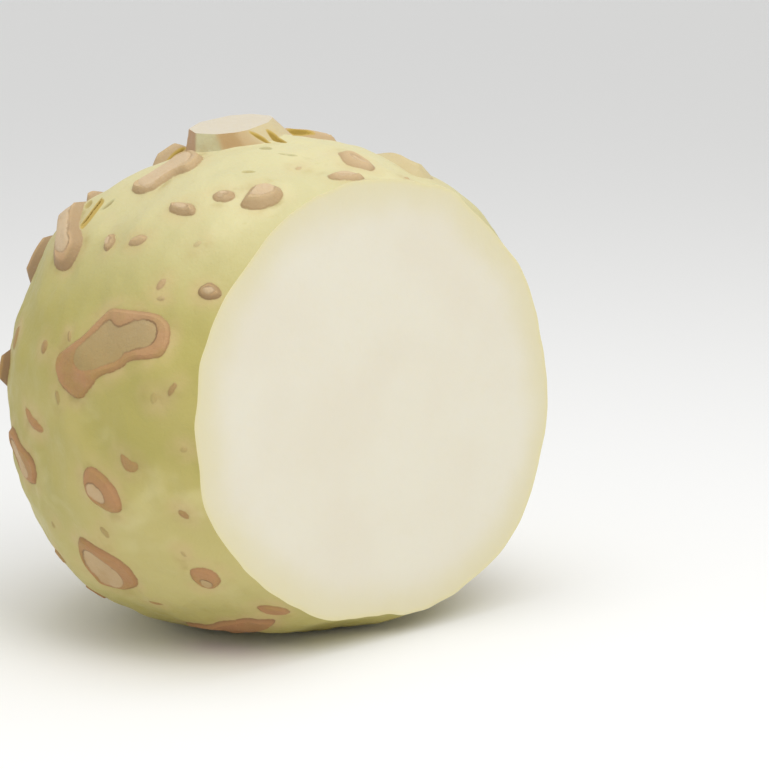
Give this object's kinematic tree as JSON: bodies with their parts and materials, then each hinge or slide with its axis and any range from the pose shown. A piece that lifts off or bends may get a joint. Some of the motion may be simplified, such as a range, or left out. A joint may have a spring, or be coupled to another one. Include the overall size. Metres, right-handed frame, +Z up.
{
  "type": "celeriac root",
  "caption": "Celeriac root with a flat sliced side, knobbly scarred skin and a trimmed crown, resting on its flattened underside.",
  "frame": {"origin": "in the plane of the flat resting spot on the underside, under the centre of the globe", "axes": "+Z up along the growth axis towards the crown; +X out of the flat cut face, square to it; +Y along the cut face"},
  "size_m": [0.0932, 0.1222, 0.1156],
  "materials": {
    "skin": "matte vegetable skin, yellow-green with brown scars; the cut face and the crown's top are bare cream flesh"
  },
  "bodies": {
    "root": {"celeriac_root": "skin"}
  },
  "joints": []
}
